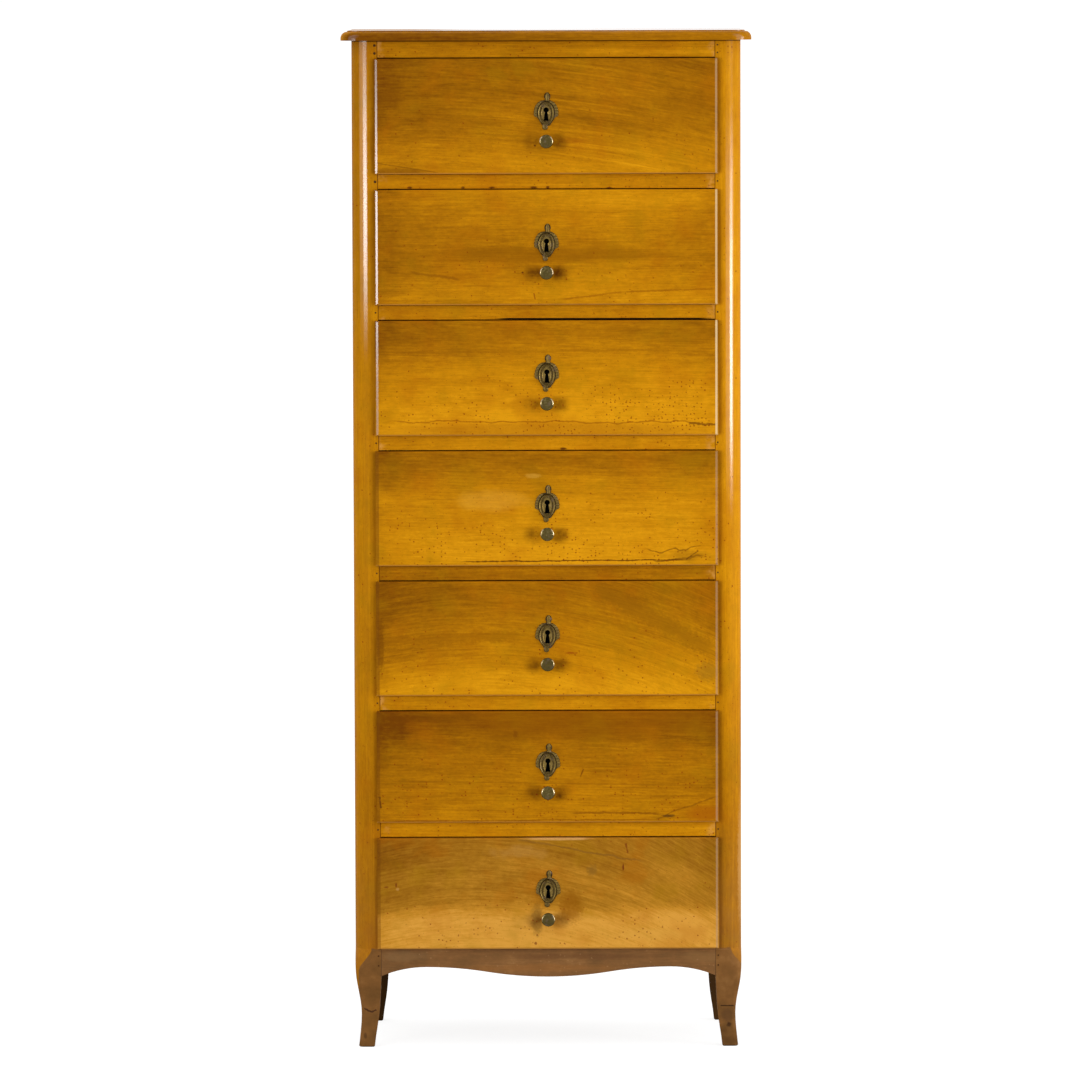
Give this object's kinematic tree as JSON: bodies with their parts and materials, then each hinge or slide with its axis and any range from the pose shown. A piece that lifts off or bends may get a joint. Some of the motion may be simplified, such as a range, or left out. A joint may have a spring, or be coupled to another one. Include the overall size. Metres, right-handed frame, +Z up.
{
  "type": "semainier",
  "caption": "Tall narrow chest with lipped drawers one above the other, each with a keyhole plate and a small knob, on short cabriole legs with a serpentine apron.",
  "frame": {"origin": "on the floor under the middle of the whole chest, knobs included", "axes": "+Z up, the drawers face and open towards -Y, +X to the right when facing the drawers"},
  "size_m": [0.582, 0.3262, 1.45],
  "materials": {
    "case_wood": "polished fruitwood",
    "post_wood": "polished fruitwood, worn brown at the feet",
    "worn_wood": "worn brown fruitwood",
    "front_wood": "polished fruitwood",
    "lining_wood": "plain unpolished",
    "back_wood": "plain unpolished",
    "brass": "aged",
    "lock_iron": "filed, with a thin brown rust"
  },
  "bodies": {
    "case": {"top_board": "case_wood", "front_post_left": "post_wood", "front_post_right": "post_wood", "rear_post_left": "post_wood", "rear_post_right": "post_wood", "top_rail": "case_wood", "drawer_rails": "case_wood", "front_apron": "worn_wood", "side_apron_left": "worn_wood", "side_apron_right": "worn_wood", "side_panel_left": "case_wood", "side_panel_right": "case_wood", "back_boards": "back_wood", "back_rails": "back_wood", "drawer_runners": "lining_wood", "drawer_guides": "lining_wood", "kickers": "lining_wood"},
    "drawer_1": {"drawer_1_front": "front_wood", "drawer_1_box": "lining_wood", "drawer_1_bottom": "lining_wood", "drawer_1_escutcheon": "brass", "drawer_1_knob": "brass", "drawer_1_lock": "lock_iron"},
    "drawer_2": {"drawer_2_front": "front_wood", "drawer_2_box": "lining_wood", "drawer_2_bottom": "lining_wood", "drawer_2_escutcheon": "brass", "drawer_2_knob": "brass", "drawer_2_lock": "lock_iron"},
    "drawer_3": {"drawer_3_front": "front_wood", "drawer_3_box": "lining_wood", "drawer_3_bottom": "lining_wood", "drawer_3_escutcheon": "brass", "drawer_3_knob": "brass", "drawer_3_lock": "lock_iron"},
    "drawer_4": {"drawer_4_front": "front_wood", "drawer_4_box": "lining_wood", "drawer_4_bottom": "lining_wood", "drawer_4_escutcheon": "brass", "drawer_4_knob": "brass", "drawer_4_lock": "lock_iron"},
    "drawer_5": {"drawer_5_front": "front_wood", "drawer_5_box": "lining_wood", "drawer_5_bottom": "lining_wood", "drawer_5_escutcheon": "brass", "drawer_5_knob": "brass", "drawer_5_lock": "lock_iron"},
    "drawer_6": {"drawer_6_front": "front_wood", "drawer_6_box": "lining_wood", "drawer_6_bottom": "lining_wood", "drawer_6_escutcheon": "brass", "drawer_6_knob": "brass", "drawer_6_lock": "lock_iron"},
    "drawer_7": {"drawer_7_front": "front_wood", "drawer_7_box": "lining_wood", "drawer_7_bottom": "lining_wood", "drawer_7_escutcheon": "brass", "drawer_7_knob": "brass", "drawer_7_lock": "lock_iron"}
  },
  "joints": [
    {"name": "drawer_1_slide", "type": "slide", "parent": "case", "child": "drawer_1", "axis": [0, -1, 0], "range_m": [0, 0.2]},
    {"name": "drawer_2_slide", "type": "slide", "parent": "case", "child": "drawer_2", "axis": [0, -1, 0], "range_m": [0, 0.2]},
    {"name": "drawer_3_slide", "type": "slide", "parent": "case", "child": "drawer_3", "axis": [0, -1, 0], "range_m": [0, 0.2]},
    {"name": "drawer_4_slide", "type": "slide", "parent": "case", "child": "drawer_4", "axis": [0, -1, 0], "range_m": [0, 0.2]},
    {"name": "drawer_5_slide", "type": "slide", "parent": "case", "child": "drawer_5", "axis": [0, -1, 0], "range_m": [0, 0.2]},
    {"name": "drawer_6_slide", "type": "slide", "parent": "case", "child": "drawer_6", "axis": [0, -1, 0], "range_m": [0, 0.2]},
    {"name": "drawer_7_slide", "type": "slide", "parent": "case", "child": "drawer_7", "axis": [0, -1, 0], "range_m": [0, 0.2]}
  ]
}
